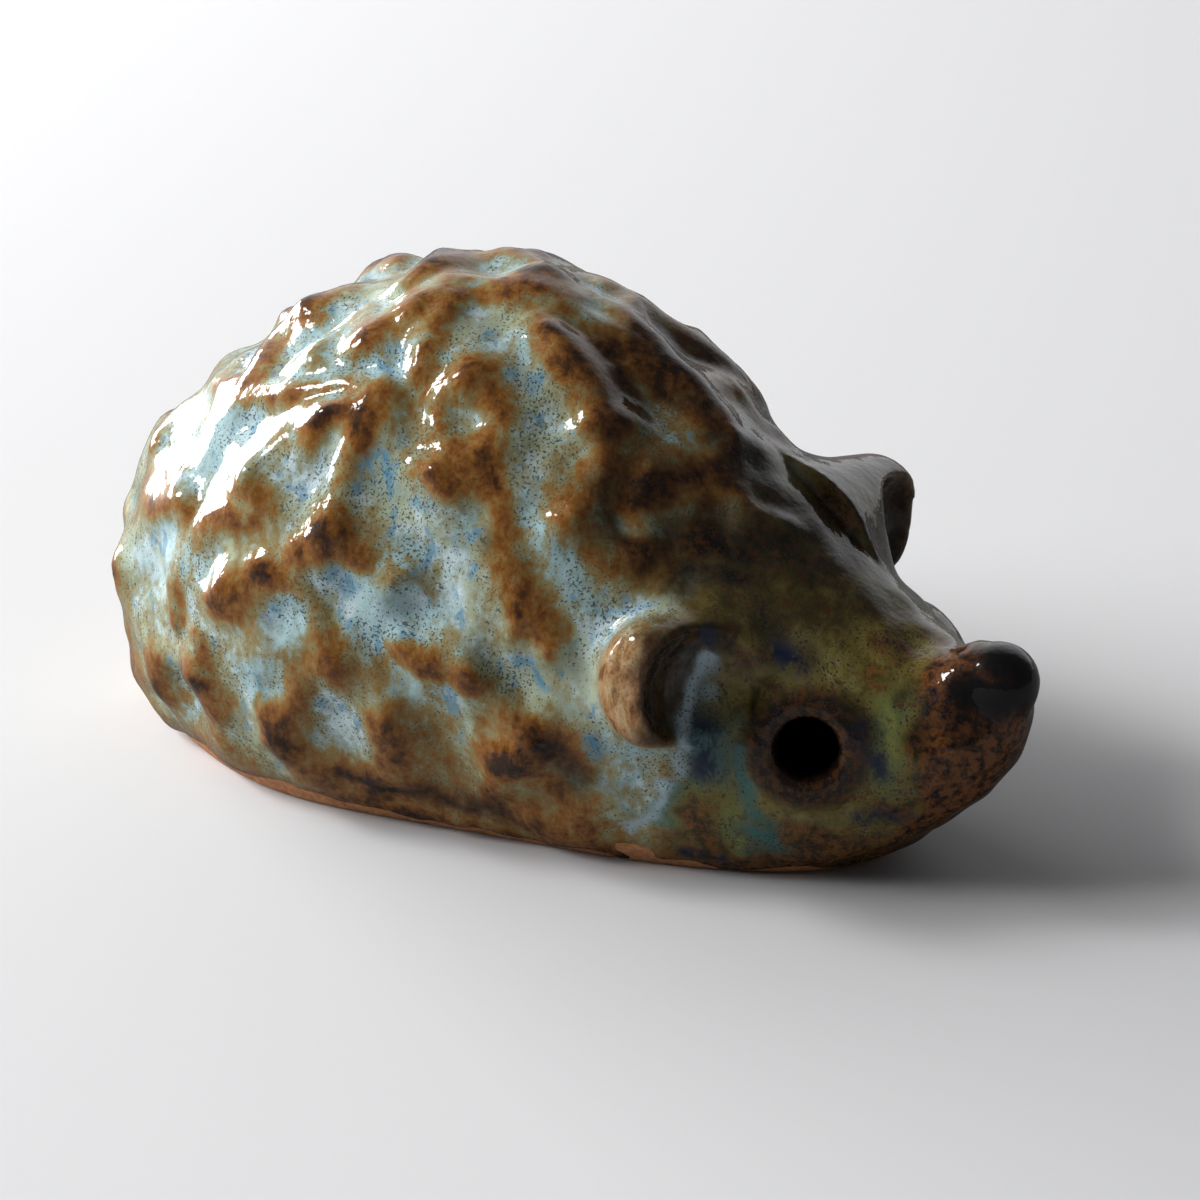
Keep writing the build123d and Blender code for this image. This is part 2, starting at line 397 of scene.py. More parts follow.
HEAD_DARKS = (
    (1.1, ((930, 702), (945, 716), (962, 722))),
    (0.9, ((928, 735), (948, 738))),
    (0.7, ((905, 690), (915, 700))),
    (0.7, ((815, 575), (835, 590))),
    (0.6, ((748, 700), (740, 770))),
)
HEAD_RUSTS = (
    (1.0, ((742, 644), (750, 655))),
    (1.5, ((686, 812), (706, 838))),
    (1.1, ((790, 828), (850, 840), (900, 838))),
    (0.7, ((885, 640), (900, 650))),
    (0.6, ((880, 672), (873, 690))),
    (0.5, ((842, 797), (846, 799))),
    (0.5, ((908, 712), (910, 722))),
)
EAR_STREAM = (
    (0.55, ((706, 672), (697, 688), (690, 712), (683, 742), (672, 772), (658, 800), (648, 822), (636, 836))),
)
TEAL_POOLS = (
    (1.5, ((704, 735), (706, 762))),
    (0.8, ((738, 762), (746, 800), (757, 832), (765, 845))),
    (0.7, ((668, 790), (655, 815))),
)
MOSS_ARCH = (
    (0.6, ((664, 812), (672, 796), (688, 786), (712, 792), (730, 815), (742, 845))),
    (1.1, ((893, 700), (892, 740), (888, 790))),
)
NAVY_POOLS = (
    (1.2, ((703, 732), (706, 768))),
    (0.7, ((706, 634), (708, 655))),
    (1.0, ((778, 652), (790, 658), (800, 662))),
    (0.75, ((866, 728), (876, 745), (879, 772))),
    (0.7, ((862, 818), (900, 816))),
    (0.6, ((685, 852), (720, 858))),
)
NOSE_PATCHES = (
    (2.0, ((1000, 656), (1020, 664), (1032, 688))),
    (1.6, ((974, 690), (990, 700), (1006, 698))),
)

# Dark marks of glaze and of painted shade: how strong, how sharply they end, and their strokes
DARK_AND_SHADE_MARKS = (
    (1.0, 2.5, BROW_FIELDS),
    (0.93, 2.0, SHOULDER_DARK_AND_SHADE),
    (0.9, 2.5, HEAD_DARKS),
    (0.78, 2.0, FOREHEAD_CLOUDS),
    (0.95, 2.5, EAR_HOLLOW_SHADE),
)
# How dark the painted shade on the far ear is
FAR_EAR_SHADE_STRENGTH = 0.95

# Where the face, snout and jaw begin, and how strongly each colour covers
FACE_SPAN_SHARES = (0.0, 0.07)
SNOUT_SPAN_SHARES = (0.885, 0.925)
BORDER_WAVE_SHARE = 0.012
JAW_SPAN = (3.0, 6.0)
JAW_WAVE = 0.6
JAW_RUST = 0.85
HEAD_RUST = 0.9
MOSS_STRENGTH = 0.9
OLIVE_STRENGTH = 0.95
STREAM_EDGE = 4.0
NOSE_EDGE = 4.0
NOSE_PUSH_SHARE = 0.4
EAR_CUP_SPAN = (0.1, 0.6)
EAR_BACK_SPAN = (1.2, 3.0)
# Painted shade in each ear's cup
EAR_CUP_SHADE = 0.95
EAR_BARE_SPAN = (4.0, 6.5)
EAR_BARE_LOSS = 0.8
# Tan round each ear's tip, paler than its glaze alone as painted light from the window
EAR_TAN_SPAN = (3.0, 4.4)
EAR_TAN_STRENGTH = 0.65
EYE_RING_SPAN = (1.1, 2.6)
EYE_RING_RUST = 0.9
EYE_RING_DARK = 0.88
# Painted shade inside the eye holes: black from the hole's edge inwards, up to this far out of the head
EYE_HOLE_SHADE_SPAN = (-0.1, 0.3)
EYE_HOLE_SHADE_TOP = 0.3

# Colours of the glaze, from red, green and blue light: by thickness, and by the mottle in it
GLAZE_STOPS = (
    (0.00, (0.030, 0.014, 0.007)),
    (0.13, (0.085, 0.034, 0.010)),
    (0.26, (0.175, 0.066, 0.013)),
    (0.38, (0.225, 0.106, 0.026)),
    (0.50, (0.220, 0.160, 0.064)),
    (0.63, (0.235, 0.215, 0.115)),
    (0.76, (0.275, 0.300, 0.225)),
    (0.86, (0.355, 0.450, 0.455)),
    (1.00, (0.470, 0.580, 0.610)),
)
OLIVE_STOPS = ((0.3, (0.085, 0.062, 0.009)), (0.7, (0.225, 0.185, 0.045)))
# Tan of the ears, paled in part as painted light from the window
EAR_STOPS = (
    (0.38, (0.10, 0.042, 0.014)),
    (0.5, (0.30, 0.165, 0.072)),
    (0.62, (0.42, 0.285, 0.165)),
)
RUST_STOPS = (
    (0.36, (0.008, 0.004, 0.003)),
    (0.50, (0.085, 0.030, 0.007)),
    (0.68, (0.28, 0.098, 0.020)),
)
CLAY_STOPS = ((0.3, (0.26, 0.105, 0.040)), (0.7, (0.50, 0.23, 0.10)))
POOL_GREEN = (0.285, 0.320, 0.200)
POOL_BLUE = (0.235, 0.385, 0.410)
COBALT = (0.055, 0.200, 0.330)
MOSS_PALE = (0.185, 0.200, 0.056)
MOSS_DEEP = (0.105, 0.140, 0.050)
SPECK_BROWN = (0.070, 0.030, 0.010)
# Deep browns of the dark marks, which also serve as painted shade
UMBER_DEEP = (0.006, 0.004, 0.003)
UMBER_WARM = (0.052, 0.020, 0.006)
TEAL = (0.045, 0.130, 0.120)
NAVY = (0.008, 0.015, 0.042)
STREAM_BLUE = (0.28, 0.37, 0.41)
FLECK_DARK = (0.026, 0.022, 0.034)
# Black of the glazed nose patches, and painted shade inside the eye holes
BLACK_GLAZE_AND_HOLE_SHADE = (0.003, 0.003, 0.004)


def view_axes():
    """Right, up and back of the camera as unit vectors in the object's frame."""
    azimuth, elevation = np.radians([VIEW_AZIMUTH, VIEW_ELEVATION])
    back = np.array([
        np.sin(azimuth) * np.cos(elevation),
        -np.cos(azimuth) * np.cos(elevation),
        np.sin(elevation),
    ])
    right = np.array([np.cos(azimuth), np.sin(azimuth), 0.0])
    return right, np.cross(back, right), back


def view_place():
    """Camera place in millimetres: the target, slid in the picture, then back by the distance."""
    right, up, back = view_axes()
    target = np.array(VIEW_TARGET) + VIEW_SHIFT[0] * right + VIEW_SHIFT[1] * up
    return target + VIEW_DISTANCE * back


def smooth_curve(places, values, at):
    """Cubic through the points whose slope at each is the mean of its two neighbours' slopes."""
    places, values = np.array(places), np.array(values)
    slope = np.gradient(values, places)
    index = np.clip(np.searchsorted(places, at) - 1, 0, len(places) - 2)
    width = places[index + 1] - places[index]
    t = np.clip((at - places[index]) / width, 0.0, 1.0)
    return (
        (1 + 2 * t) * (1 - t) ** 2 * values[index]
        + t * (1 - t) ** 2 * width * slope[index]
        + t * t * (3 - 2 * t) * values[index + 1]
        + t * t * (t - 1) * width * slope[index + 1]
    )


def smooth_union(a, b, width):
    """Lesser of two distances, rounded over the given width where they meet."""
    h = np.clip(0.5 + 0.5 * (b - a) / width, 0.0, 1.0)
    return b + (a - b) * h - width * h * (1 - h)


def smooth_cut(a, b, width):
    """Distance a with the shape b taken out, rounded over the given width at the edge."""
    return -smooth_union(-a, b, width)


class Grid:
    """Regular grid of points round the object, in millimetres, with sampling between them."""

    def __init__(self, low, high, step):
        self.low, self.step = np.array(low), step
        self.axes = [np.arange(a, b, step) for a, b in zip(low, high)]
        self.shape = tuple(len(axis) for axis in self.axes)

    def points(self, block=(slice(None),) * 3):
        """Coordinates of a block of the grid, ready to broadcast."""
        x, y, z = (axis[part] for axis, part in zip(self.axes, block))
        return x[:, None, None], y[None, :, None], z[None, None, :]

    def block(self, low, high):
        """Slices of the grid that hold the box between two corners."""
        first = np.floor((np.array(low) - self.low) / self.step).astype(int)
        last = np.ceil((np.array(high) - self.low) / self.step).astype(int) + 1
        return tuple(slice(max(a, 0), max(b, 0)) for a, b in zip(first, last))

    def sample(self, field, points):
        """Value of a field at any points, blended from the eight grid points round each."""
        place = (points - self.low) / self.step
        base = np.clip(np.floor(place).astype(int), 0, np.array(self.shape) - 2)
        share = np.clip(place - base, 0.0, 1.0)
        total = np.zeros(len(points))
        for corner in np.ndindex(2, 2, 2):
            weight = np.prod(np.where(corner, share, 1 - share), axis=1)
            total += weight * field[tuple((base + corner).T)]
        return total


def body_field(grid):
    """Distance to the egg form: the square of a point's distance from the middle of its section,
    with heights stretched until the upper or lower half ellipse is round, less the square of
    the half width there, all divided by how fast that grows."""
    x, y, z = grid.points()
    share = np.clip(x / body_length + 0.5, 0.0, 1.0)
    flank = FLANK_HEIGHT * smooth_curve(STATION_SHARES, FLANK_SHARES, share)
    width = body_half_width ** 2 * smooth_curve(STATION_SHARES, np.square(WIDTH_SHARES), share)
    upper = back_height * np.array(TOP_SHARES) - FLANK_HEIGHT * np.array(FLANK_SHARES)
    lower = BELLY_RADIUS * np.array(BELLY_SHARES)
    upper = smooth_curve(STATION_SHARES, upper ** 2, share)
    lower = smooth_curve(STATION_SHARES, lower ** 2, share)
    width, upper, lower = (np.maximum(square, LEAST_SQUARE) for square in (width, upper, lower))
    form = y * y + (z - flank) ** 2 * width / np.where(z > flank, upper, lower) - width
    slope = np.sqrt(sum(g * g for g in np.gradient(form, grid.step)))
    return np.maximum(form / np.maximum(slope, LEAST_SLOPE), np.abs(x) - body_length / 2)


def net_surface(field, grid):
    """Surface where the field is zero: one point in each grid cell that it passes through, the
    mean of the places where it crosses that cell's edges, and one face across each such edge."""
    cells, places = [], []
    for axis in range(3):
        side, other = (axis + 1) % 3, (axis + 2) % 3
        near = [slice(None)] * 3
        far = [slice(None)] * 3
        near[axis], far[axis] = slice(None, -1), slice(1, None)
        a, b = field[tuple(near)], field[tuple(far)]
        edge = np.argwhere((a < 0) != (b < 0))
        inside, outside = a[tuple(edge.T)], b[tuple(edge.T)]
        place = edge.astype(float)
        place[:, axis] += inside / (inside - outside)
        ring = []
        for back_side, back_other in ((1, 1), (0, 1), (0, 0), (1, 0)):
            cell = edge.copy()
            cell[:, side] -= back_side
            cell[:, other] -= back_other
            ring.append(np.ravel_multi_index(cell.T, field.shape))
        ring = np.stack(ring, axis=1)
        turned = inside > 0
        ring[turned] = ring[turned][:, ::-1]
        cells.append(ring)
        places.append(np.repeat(place, 4, axis=0))
    cells, places = np.concatenate(cells), np.concatenate(places)
    _, corner = np.unique(cells.ravel(), return_inverse=True)
    count = np.bincount(corner)
    points = np.stack([np.bincount(corner, places[:, k]) / count for k in range(3)], axis=1)
    return grid.low + grid.step * points, corner.reshape(-1, 4)


def mesh_object(name, points, faces):
    """New object from points in millimetres and four-cornered faces, at the origin."""
    mesh = bpy.data.meshes.new(name)
    mesh.from_pydata((points * MM).tolist(), [], faces.tolist())
    mesh.polygons.foreach_set("use_smooth", np.ones(len(mesh.polygons), bool))
    mesh.update()
    piece = bpy.data.objects.new(name, mesh)
    bpy.context.scene.collection.objects.link(piece)
    return piece


def node_points(name):
    """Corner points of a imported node, in millimetres."""
    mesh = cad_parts[name].data
    points = np.empty(3 * len(mesh.vertices))
    mesh.vertices.foreach_get("co", points)
    return points.reshape(-1, 3) / MM


def outward(field, grid, points):
    """Unit vectors along which a field grows fastest, from its change over a small step."""
    reach = 0.5
    slope = [
        grid.sample(field, points + reach * way) - grid.sample(field, points - reach * way)
        for way in np.eye(3)
    ]
    slope = np.stack(slope, axis=1)
    return slope / np.linalg.norm(slope, axis=1, keepdims=True)


def cast(body, grid, pixels):
    """Places on the body under picture points: walks along each camera ray, and takes the
    first step that lies inside, or else the step that comes nearest."""
    right, up, back = view_axes()
    across = (np.array(pixels, float) - IMAGE_PIXELS / 2) / VIEW_FOCAL_PIXELS
    rays = across[:, :1] * right - across[:, 1:] * up - back
    walk = np.arange(VIEW_DISTANCE - RAY_REACH, VIEW_DISTANCE + RAY_REACH, RAY_STEP)
    steps = view_place() + walk[None, :, None] * rays[:, None, :]
    depth = grid.sample(body, steps.reshape(-1, 3)).reshape(len(rays), -1)
    low, high = grid.low, grid.low + grid.step * (np.array(grid.shape) - 1)
    depth[((steps < low) | (steps > high)).any(axis=2)] = FAR_OUTSIDE
    inside = depth < 0
    nearest = np.where(inside.any(axis=1), np.argmax(inside, axis=1), np.argmin(depth, axis=1))
    return steps[np.arange(len(rays)), nearest]


def stroke(body, grid, pixels):
    """Close-set points on the body along a line drawn through picture points."""
    pixels = np.array(pixels, float)
    length = np.r_[0, np.cumsum(np.linalg.norm(np.diff(pixels, axis=0), axis=1))]
    at = np.linspace(0, length[-1], max(2, int(length[-1] / STROKE_PIXELS)))
    return cast(body, grid, np.stack([np.interp(at, length, pixels[:, k]) for k in range(2)], axis=1))


def distance(points, line):
    """Least distance from each of many points to a set of others."""
    nearest = np.full(len(points), np.inf)
    for place in line:
        nearest = np.minimum(nearest, np.sum((points - place) ** 2, axis=1))
    return np.sqrt(nearest)


def waves(x, y, z, length, seed, count=10):
    """Smooth random values of about one unit: a sum of sine waves in random directions, each
    about the given length from crest to crest."""
    dice = np.random.default_rng(seed)
    ways = dice.normal(size=(count, 3))
    ways *= 2 * np.pi / length / np.linalg.norm(ways, axis=1, keepdims=True)
    starts = dice.uniform(0, 2 * np.pi, count)
    total = sum(np.sin(a * x + b * y + c * z + start) for (a, b, c), start in zip(ways, starts))
    return total / np.sqrt(count / 2)


def raise_spine(relief, body, grid, name, dice):
    """Adds one nub to the relief: a soft point, longer up the flank than along the body and
    with an uneven foot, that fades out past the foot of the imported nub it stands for."""
    points = node_points(name)
    rise = grid.sample(body, points)
    size = rise.max() / SPINE_HEIGHT
    tip = points[np.argmax(rise)]
    normal = outward(body, grid, tip[None])[0]
    centre = tip - rise.max() * normal
    around = np.cross(normal, (1.0, 0.0, 0.0))
    around /= np.linalg.norm(around)
    along = np.cross(around, normal)
    reach = SPINE_REACH_SHARE * SPINE_HALF_LENGTH * size
    block = grid.block(centre - reach, centre + reach)
    x, y, z = grid.points(block)
    u = (x - centre[0]) * around[0] + (y - centre[1]) * around[1] + (z - centre[2]) * around[2]
    v = (x - centre[0]) * along[0] + (y - centre[1]) * along[1] + (z - centre[2]) * along[2]
    turn = np.arctan2(v, u)
    phase = dice.uniform(0, 2 * np.pi, 2)
    oval, three_sided = SPINE_FOOT_SHARES
    foot = 1 + oval * np.sin(2 * turn + phase[0]) + three_sided * np.sin(3 * turn + phase[1])
    q = np.hypot(u / SPINE_HALF_LENGTH, v / SPINE_HALF_WIDTH) / (size * foot)
    fall = np.exp(-(q / SPINE_FALL_SHARE) ** SPINE_FALL_POWER)
    nub = SPINE_SHOWING_SHARE * SPINE_HEIGHT * size * fall
    relief[block] = np.cbrt(relief[block] ** 3 + nub ** 3)


def raise_ridge(relief, grid, line, height, width):
    """Adds a low pinched ridge to the relief, highest along a line of points."""
    reach = RIDGE_REACH_SHARE * width
    block = grid.block(line.min(axis=0) - reach, line.max(axis=0) + reach)
    mesh = np.stack(np.broadcast_arrays(*grid.points(block)), axis=-1)
    away = distance(mesh.reshape(-1, 3), line).reshape(mesh.shape[:3])
    ridge = height * np.exp(-(away / (RIDGE_FALL_SHARE * width)) ** RIDGE_FALL_POWER)
    relief[block] = np.cbrt(relief[block] ** 3 + ridge ** 3)


def eye_seat(body, grid, side):
    """Middle of an eye on the outside of the head, and the way out of it."""
    start = np.array([(EYE_PLACE_SHARE - 0.5) * body_length, 0.0, EYE_HEIGHT])
    walk = start + np.arange(0, body_half_width, EYE_WALK_STEP)[:, None] * np.array([0.0, side, 0.0])
    centre = walk[np.argmax(grid.sample(body, walk) > 0)]
    return centre, outward(body, grid, centre[None])[0]


def add_eye(coat, body, grid, side):
    """A round lip standing out of the head, with a hole pushed in through its middle."""
    centre, normal = eye_seat(body, grid, side)
    block = grid.block(centre - 2 * EYE_HOLE_DEPTH, centre + 2 * EYE_HOLE_DEPTH)
    x, y, z = (axis - place for axis, place in zip(grid.points(block), centre))
    out = x * normal[0] + y * normal[1] + z * normal[2]
    radius = np.sqrt(np.maximum(x * x + y * y + z * z - out * out, 0))
    ring = EYE_HOLE_RADIUS + EYE_LIP_OUT_SHARE * EYE_LIP_RADIUS
    lip = np.hypot(radius - ring, out + EYE_LIP_RADIUS - EYE_LIP_PROUD) - EYE_LIP_RADIUS
    hole = np.maximum(radius - EYE_HOLE_RADIUS, -EYE_HOLE_DEPTH - out)
    lipped = smooth_union(coat[block], lip, EYE_LIP_BLEND)
    coat[block] = smooth_cut(lipped, hole, EYE_HOLE_ROUNDING)


def ear_point(side, shares, forward=0.0):
    """Point at the ears' place along the body, from shares of the half width and the height."""
    out, height = shares
    place = (EAR_PLACE_SHARE - 0.5) * body_length + forward
    return np.array([place, side * out * body_half_width, height * back_height])


def add_ear(coat, grid, side):
    """A blunt lobe, blended into the head, with its front scooped out. The lobe is an ellipse
    that shrinks evenly from root to tip: how far a point lies outside it, times its half depth."""
    root = ear_point(side, EAR_ROOT_SHARES[side])
    tip = ear_point(side, EAR_TIP_SHARES[side])
    scoop_centre = ear_point(side, EAR_SCOOP_SHARES[side], EAR_SCOOP_FORWARD)
    block = grid.block(tip - EAR_REACH, tip + EAR_REACH)
    x, y, z = grid.points(block)
    length = np.linalg.norm(tip - root)
    _, lean, climb = (tip - root) / length
    along = (y - root[1]) * lean + (z - root[2]) * climb
    across = (z - root[2]) * lean - (y - root[1]) * climb
    share = np.clip(along / length, EAR_START_SHARE, 1.0)
    depth, height = (a + (b - a) * share for a, b in (EAR_DEPTHS, EAR_HEIGHTS[side]))
    lobe = (np.hypot((x - root[0]) / depth, across / height) - 1) * depth
    lobe = -smooth_union(-lobe, length - along, EAR_END_ROUNDING)
    scoop = np.sqrt(sum((a - c) ** 2 for a, c in zip((x, y, z), scoop_centre))) - EAR_SCOOP_RADIUS
    head = smooth_cut(coat[block], scoop, EAR_CHEEK_ROUNDING)
    lobe = smooth_cut(lobe, scoop, EAR_RIM_ROUNDING)
    joined = smooth_union(head, lobe, EAR_BLEND)
    coat[block] = np.where(along > EAR_START_SHARE * length, joined, head)


def blurred(field, reach):
    """Field with each value replaced by the mean over a box round it, twice."""
    for axis in (0, 1, 2, 0, 1, 2):
        pad = [(0, 0)] * 3
        pad[axis] = (reach + 1, reach)
        total = np.cumsum(np.pad(field, pad, mode="edge"), axis=axis, dtype=np.float32)
        size = field.shape[axis]
        high = np.take(total, np.arange(2 * reach + 1, 2 * reach + 1 + size), axis=axis)
        low = np.take(total, np.arange(size), axis=axis)
        field = (high - low) / (2 * reach + 1)
    return field


def mirrored(line):
    """The same points on the animal's other side."""
    return line * np.array([1.0, -1.0, 1.0])


def uneven(points):
    """The points pushed about by smooth random amounts, so that what is painted by them has
    edges that run unevenly."""
    x, y, z = points.T
    push = np.stack([waves(x, y, z, 4.5, seed) for seed in (11, 12, 13)], axis=1)
    fine = np.stack([waves(x, y, z, 1.8, seed) for seed in (14, 15, 16)], axis=1)
    push += PAINT_FINE_PUSH_SHARE * fine
    return points + PAINT_PUSH * push


def paint(points, strokes, field, grid, edge=PAINT_EDGE, both=True):
    """Mask that is 1 on the strokes and falls off past their half widths, as a rule on both
    sides of the animal: e to the minus power of distance over half width."""
    amount = np.zeros(len(points))
    for width, pixels in strokes:
        line = stroke(field, grid, pixels)
        for side in (line, mirrored(line)) if both else (line,):
            reach = PAINT_REACH_SHARE * width
            low, high = side.min(axis=0) - reach, side.max(axis=0) + reach
            near = np.flatnonzero(((points > low) & (points < high)).all(axis=1))
            cover = np.exp(-(distance(points[near], side) / width) ** edge)
            amount[near] = np.maximum(amount[near], cover)
    return amount


def ease(value, low, high):
    """Value carried from a range to 0 to 1, with soft ends."""
    t = np.clip((value - low) / (high - low), 0.0, 1.0)
    return t * t * (3 - 2 * t)


def ease_past(value, start, spread):
    """The same, over a range that is given as two steps from a start."""
    return ease(value, start + spread[0], start + spread[1])


def set_mask(piece, name, values):
    """Stores one number per point of the piece, for its material to read."""
    layer = piece.data.attributes.new(name, "FLOAT", "POINT")
    layer.data.foreach_set("value", np.asarray(values, np.float32))


def add_node(tree, kind, inputs=None, **settings):
    """New shader node with its settings, and its inputs set to values or joined to outputs."""
    node = tree.nodes.new(kind)
    for name, value in settings.items():
        setattr(node, name, value)
    for name, value in (inputs or {}).items():
        if isinstance(value, bpy.types.NodeSocket):
            tree.links.new(value, node.inputs[name])
        else:
            node.inputs[name].default_value = value
    return node


def noise(tree, place, scale, detail=3.0, rough=0.55, warp=0.0):
    """Cloudy noise value from a place; scale counts its clouds per metre."""
    inputs = {"Vector": place, "Scale": scale, "Detail": detail, "Roughness": rough, "Distortion": warp}
    return add_node(tree, "ShaderNodeTexNoise", inputs).outputs["Fac"]


def math(tree, operation, first, second=0.0):
    """Result of one sum on two values."""
    return add_node(tree, "ShaderNodeMath", {0: first, 1: second}, operation=operation).outputs[0]


def span(tree, value, low, high, to_low=0.0, to_high=1.0):
    """Value carried smoothly from one range to another and held at its ends."""
    inputs = {"Value": value, "From Min": low, "From Max": high, "To Min": to_low, "To Max": to_high}
    return add_node(tree, "ShaderNodeMapRange", inputs, interpolation_type="SMOOTHSTEP").outputs["Result"]


def mixed(tree, share, first, second, blend="MIX"):
    """Colour that goes from the first to the second with the share."""
    node = add_node(tree, "ShaderNodeMix", data_type="RGBA", blend_type=blend)
    for socket, value in zip((node.inputs[0], node.inputs[6], node.inputs[7]), (share, first, second)):
        if isinstance(value, bpy.types.NodeSocket):
            tree.links.new(value, socket)
        elif socket is node.inputs[0]:
            socket.default_value = value
        else:
            socket.default_value = (*value, 1.0)
    return node.outputs[2]


def ramp(tree, value, stops):
    """Colour read from a row of (place, colour) stops."""
    node = add_node(tree, "ShaderNodeValToRGB", {"Fac": value})
    bar = node.color_ramp.elements
    bar[0].position, bar[0].color = stops[0][0], (*stops[0][1], 1.0)
    bar[1].position, bar[1].color = stops[-1][0], (*stops[-1][1], 1.0)
    for place, colour in stops[1:-1]:
        bar.new(place).color = (*colour, 1.0)
    return node.outputs["Color"]


def new_material(name):
    """Empty node material with its Principled shader, and the object's own coordinates."""
    material = bpy.data.materials.new(name)
    material.use_nodes = True
    tree = material.node_tree
    shader = tree.nodes["Principled BSDF"]
    place = add_node(tree, "ShaderNodeTexCoord").outputs["Object"]
    return material, tree, shader, place


def mask(tree, name):
    """Number that the piece stores under this name."""
    node = add_node(tree, "ShaderNodeAttribute", attribute_name=name)
    return node.outputs["Fac"]


def glaze_material():
    """Runny stoneware glaze: brown where it breaks thin over crests, olive between, and pale
    blue where it pools, with dark flecks, under a clear gloss. Some dark and black marks are painted shade,
    and the ears' tan is partly painted light."""
    material, tree, shader, place = new_material("glaze")
    flow = add_node(tree, "ShaderNodeMapping", {"Vector": place, "Scale": (1.0, 1.0, 0.55)}).outputs[0]
    clouds = noise(tree, flow, 330.0, 4.0, 0.62, 0.8)
    fine = noise(tree, place, 1700.0, 3.0, 0.65)
    thick = math(tree, "ADD", mask(tree, "thickness"), span(tree, clouds, 0.25, 0.75, -0.15, 0.15))
    thick = math(tree, "ADD", thick, span(tree, fine, 0.25, 0.75, -0.10, 0.10))
    mottle = noise(tree, flow, 1100.0, 4.0, 0.7, 0.4)
    thick = math(tree, "ADD", thick, span(tree, mottle, 0.3, 0.7, -0.11, 0.11))
    colour = ramp(tree, thick, GLAZE_STOPS)
    drift = noise(tree, place, 170.0, 2.0, 0.5, 0.6)
    pooled = span(tree, thick, 0.55, 0.8)
    greenish = math(tree, "MULTIPLY", pooled, span(tree, drift, 0.50, 0.62, 0.0, 0.75))
    colour = mixed(tree, greenish, colour, POOL_GREEN)
    bluish = math(tree, "MULTIPLY", pooled, span(tree, drift, 0.50, 0.40, 0.0, 0.55))
    colour = mixed(tree, bluish, colour, POOL_BLUE)
    wisps = noise(tree, flow, 800.0, 3.0, 0.6)
    cobalt = math(tree, "MULTIPLY", pooled, span(tree, wisps, 0.57, 0.66, 0.0, 0.6))
    blue = math(tree, "MULTIPLY", mask(tree, "blue"), span(tree, mottle, 0.42, 0.56, 0.15, 0.95))
    blue = math(tree, "MAXIMUM", blue, cobalt)
    colour = mixed(tree, blue, colour, COBALT)
    olive = ramp(tree, mottle, OLIVE_STOPS)
    colour = mixed(tree, mask(tree, "olive"), colour, olive)
    # Tan on the ears, partly painted light
    tan = ramp(tree, mottle, EAR_STOPS)
    colour = mixed(tree, mask(tree, "ear"), colour, tan)
    rust = ramp(tree, fine, RUST_STOPS)
    colour = mixed(tree, mask(tree, "rust"), colour, rust)
    moss = mixed(tree, span(tree, mottle, 0.35, 0.6), MOSS_PALE, MOSS_DEEP)
    colour = mixed(tree, mask(tree, "moss"), colour, moss)
    specks = math(tree, "MULTIPLY", mask(tree, "olive"), span(tree, fine, 0.54, 0.66, 0.0, 0.75))
    colour = mixed(tree, specks, colour, SPECK_BROWN)
    # Dark marks: dark glaze, and painted shade in the ears' hollows, on the far ear and on the shoulder
    dark = math(tree, "MULTIPLY", mask(tree, "dark"), span(tree, clouds, 0.3, 0.7, 1.0, 0.88))
    umber = mixed(tree, span(tree, fine, 0.45, 0.66), UMBER_DEEP, UMBER_WARM)
    colour = mixed(tree, dark, colour, umber)
    colour = mixed(tree, mask(tree, "teal"), colour, TEAL)
    navy = math(tree, "MULTIPLY", mask(tree, "navy"), span(tree, mottle, 0.38, 0.54, 0.3, 1.0))
    colour = mixed(tree, navy, colour, NAVY)
    colour = mixed(tree, mask(tree, "stream"), colour, STREAM_BLUE)
    spots = noise(tree, place, 6500.0, 2.0, 0.5)
    crowd = noise(tree, place, 260.0, 2.0, 0.5)
    fleck = math(tree, "ADD", spots, span(tree, crowd, 0.35, 0.65, -0.06, 0.035))
    fleck = span(tree, fleck, 0.575, 0.64)
    shown = math(tree, "MAXIMUM", span(tree, thick, 0.35, 0.75, 0.35, 0.8), mask(tree, "olive"))
    fleck = math(tree, "MULTIPLY", fleck, shown)
    colour = mixed(tree, fleck, colour, FLECK_DARK)
    # Black glaze on the nose, and painted shade inside the eye holes
    colour = mixed(tree, mask(tree, "black_and_hole_shade"), colour, BLACK_GLAZE_AND_HOLE_SHADE)
    tree.links.new(colour, shader.inputs["Base Color"])
    shader.inputs["Roughness"].default_value = 0.45
    shader.inputs["Specular IOR Level"].default_value = 0.05
    tree.links.new(mask(tree, "gloss"), shader.inputs["Coat Weight"])
    shader.inputs["Coat Roughness"].default_value = 0.08
    shader.inputs["Coat IOR"].default_value = 1.6
    ripple = noise(tree, place, 600.0, 3.0, 0.55)
    bump = add_node(tree, "ShaderNodeBump", {"Height": ripple, "Strength": 0.22, "Distance": 0.0005})
    tree.links.new(bump.outputs["Normal"], shader.inputs["Normal"])
    tree.links.new(bump.outputs["Normal"], shader.inputs["Coat Normal"])
    return material


def clay_material():
    """Bare fired clay: orange-brown, dry, with fine grog."""
    material, tree, shader, place = new_material("bare_clay")
    grains = noise(tree, place, 2200.0, 3.0, 0.6)
    colour = ramp(tree, grains, CLAY_STOPS)
    tree.links.new(colour, shader.inputs["Base Color"])
    shader.inputs["Roughness"].default_value = 0.85
    bump = add_node(tree, "ShaderNodeBump", {"Height": grains, "Strength": 0.4, "Distance": 0.0003})
    tree.links.new(bump.outputs["Normal"], shader.inputs["Normal"])
    return material


